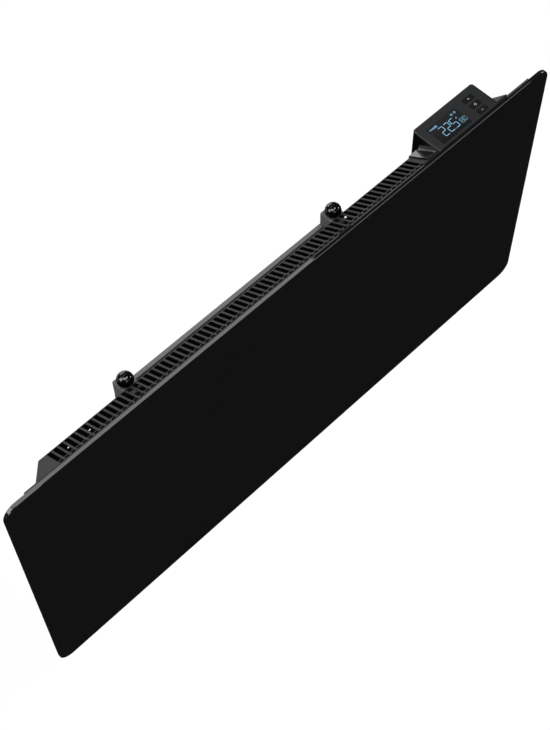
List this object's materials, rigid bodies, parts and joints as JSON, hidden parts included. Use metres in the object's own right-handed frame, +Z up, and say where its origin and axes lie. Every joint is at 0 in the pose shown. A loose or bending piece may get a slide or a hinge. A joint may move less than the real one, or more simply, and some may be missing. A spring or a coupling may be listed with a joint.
{
  "type": "wall panel convector heater",
  "caption": "Slim wall-hung electric panel heater with a dark glass front, a slotted steel casing, a top-corner control unit and a lockable wall bracket.",
  "frame": {"origin": "on the wall plane, at the middle of the bracket's top rail (mount wall_face)", "axes": "+X to the right seen from the room, +Y into the wall, +Z up; the glass front faces -Y"},
  "size_m": [0.89, 0.0585, 0.4505],
  "materials": {
    "black_glass": "polished, opaque black",
    "foam_tape": "matte",
    "casing_coat": "satin powder coat",
    "bracket_coat": "satin powder coat",
    "bare_aluminium": "mill",
    "plated_steel": "zinc plated",
    "ceramic": "fired ceramic",
    "housing_plastic": "semi-gloss",
    "cover_plastic": "fine texture",
    "key_plastic": "matte",
    "smoked_window": "smoked, polished",
    "circuit_board": "solder mask",
    "pale_plastic": "matte",
    "knob_gloss": "high gloss",
    "bush_rubber": "matte"
  },
  "bodies": {
    "heater": {"glass_front_panel": "black_glass", "glass_tape_top": "foam_tape", "glass_tape_bottom": "foam_tape", "glass_tape_left": "foam_tape", "glass_tape_right": "foam_tape", "rear_casing": "casing_coat", "heat_shield": "bare_aluminium", "shield_post_1": "plated_steel", "shield_post_2": "plated_steel", "shield_post_3": "plated_steel", "shield_post_4": "plated_steel", "heating_element": "bare_aluminium", "element_support_left": "plated_steel", "element_support_right": "plated_steel", "element_bush_left": "ceramic", "element_bush_right": "ceramic", "thermal_cutout": "plated_steel", "room_sensor": "pale_plastic", "control_housing": "housing_plastic", "control_cover": "cover_plastic", "display_window": "smoked_window", "display_module": "pale_plastic", "control_board": "circuit_board", "power_board": "circuit_board", "relay": "housing_plastic", "terminal_block": "pale_plastic", "cord_inlet": "bush_rubber", "key_switch_rear": "plated_steel", "key_switch_middle": "plated_steel", "key_switch_front": "plated_steel", "bracket_top_rail": "bracket_coat", "bracket_bottom_rail": "bracket_coat", "bracket_leg_left": "bracket_coat", "bracket_leg_right": "bracket_coat", "lock_hood_left": "bracket_coat", "lock_hood_right": "bracket_coat"},
    "left_lock": {"lock_knob_left": "knob_gloss", "lock_latch_left": "plated_steel"},
    "right_lock": {"lock_knob_right": "knob_gloss", "lock_latch_right": "plated_steel"},
    "rear_key": {"key_rear": "key_plastic"},
    "middle_key": {"key_middle": "key_plastic"},
    "front_key": {"key_front": "key_plastic"}
  },
  "joints": [
    {"name": "left_lock_turn", "type": "hinge", "parent": "heater", "child": "left_lock", "pos_m": [-0.1679, -0.0115, 0.0338], "axis": [0, 0, 1], "range_deg": [0, 90]},
    {"name": "right_lock_turn", "type": "hinge", "parent": "heater", "child": "right_lock", "pos_m": [0.1679, -0.0115, 0.0338], "axis": [0, 0, 1], "range_deg": [0, 90]},
    {"name": "rear_key_press", "type": "slide", "parent": "heater", "child": "rear_key", "axis": [0, 0, -1], "range_m": [0, 0.0006], "stiffness_N_per_m": 1200},
    {"name": "middle_key_press", "type": "slide", "parent": "heater", "child": "middle_key", "axis": [0, 0, -1], "range_m": [0, 0.0006], "stiffness_N_per_m": 1200},
    {"name": "front_key_press", "type": "slide", "parent": "heater", "child": "front_key", "axis": [0, 0, -1], "range_m": [0, 0.0006], "stiffness_N_per_m": 1200}
  ]
}
